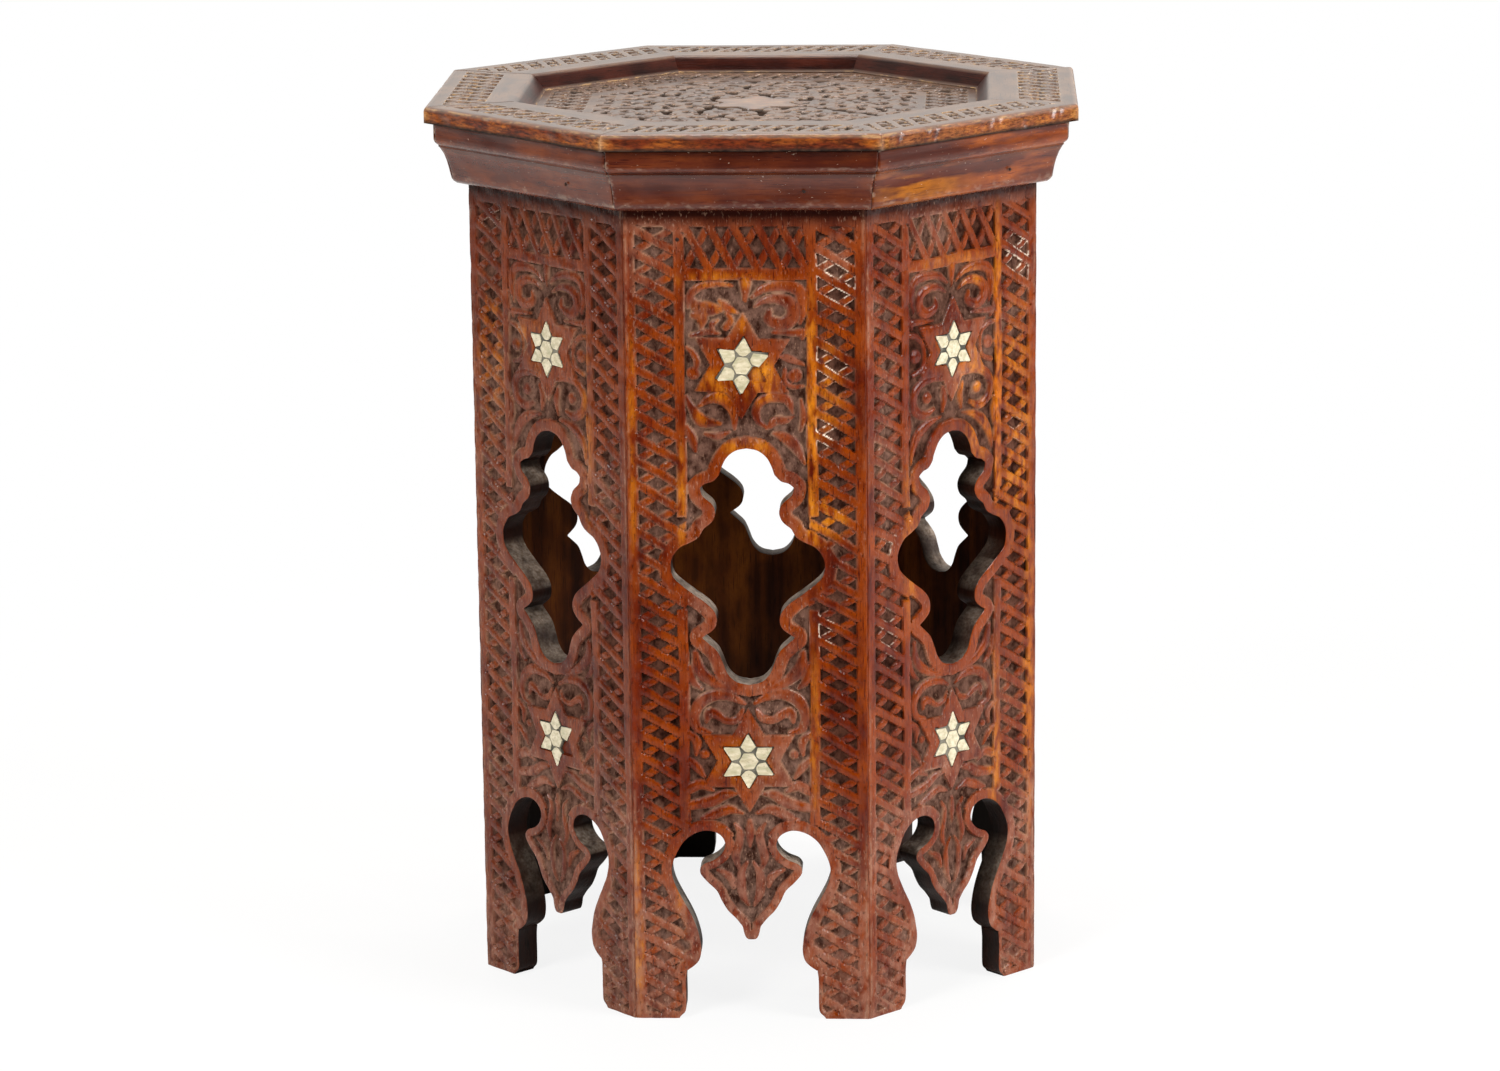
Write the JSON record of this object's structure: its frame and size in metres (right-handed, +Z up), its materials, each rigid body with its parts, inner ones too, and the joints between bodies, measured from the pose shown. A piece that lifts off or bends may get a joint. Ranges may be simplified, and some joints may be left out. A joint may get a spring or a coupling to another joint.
{
  "type": "octagonal side table",
  "caption": "Eight-sided carved side table with fretted boards, arched feet, inlaid stars, a moulded cornice and a recessed top.",
  "frame": {"origin": "on the floor under the middle of the table", "axes": "+Z up, -Y out of the front board, +X to the right of a person who faces the front"},
  "size_m": [0.332, 0.332, 0.46],
  "materials": {
    "carved_walnut": "carved, varnished and worn along the edges",
    "carved_walnut_top": "carved top, rubbed and faded varnish",
    "moulded_walnut": "planed moulding, varnished",
    "raw_softwood": "sawn and unfinished",
    "mother_of_pearl": "polished shell",
    "black_mastic": "set mastic",
    "iron_pin": "dull iron"
  },
  "bodies": {
    "root": {"top_board": "carved_walnut_top", "side_panel_front": "carved_walnut", "mastic_front": "black_mastic", "pearl_inlay_front": "mother_of_pearl", "cornice_front": "moulded_walnut", "rim_front": "carved_walnut_top", "side_panel_front_right": "carved_walnut", "mastic_front_right": "black_mastic", "pearl_inlay_front_right": "mother_of_pearl", "cornice_front_right": "moulded_walnut", "rim_front_right": "carved_walnut_top", "side_panel_right": "carved_walnut", "mastic_right": "black_mastic", "pearl_inlay_right": "mother_of_pearl", "cornice_right": "moulded_walnut", "rim_right": "carved_walnut_top", "side_panel_back_right": "carved_walnut", "mastic_back_right": "black_mastic", "pearl_inlay_back_right": "mother_of_pearl", "cornice_back_right": "moulded_walnut", "rim_back_right": "carved_walnut_top", "side_panel_back": "carved_walnut", "mastic_back": "black_mastic", "pearl_inlay_back": "mother_of_pearl", "cornice_back": "moulded_walnut", "rim_back": "carved_walnut_top", "side_panel_back_left": "carved_walnut", "mastic_back_left": "black_mastic", "pearl_inlay_back_left": "mother_of_pearl", "cornice_back_left": "moulded_walnut", "rim_back_left": "carved_walnut_top", "side_panel_left": "carved_walnut", "mastic_left": "black_mastic", "pearl_inlay_left": "mother_of_pearl", "cornice_left": "moulded_walnut", "rim_left": "carved_walnut_top", "side_panel_front_left": "carved_walnut", "mastic_front_left": "black_mastic", "pearl_inlay_front_left": "mother_of_pearl", "cornice_front_left": "moulded_walnut", "rim_front_left": "carved_walnut_top", "corner_block_1": "raw_softwood", "corner_block_2": "raw_softwood", "corner_block_3": "raw_softwood", "corner_block_4": "raw_softwood", "corner_block_5": "raw_softwood", "corner_block_6": "raw_softwood", "corner_block_7": "raw_softwood", "corner_block_8": "raw_softwood"}
  },
  "joints": []
}
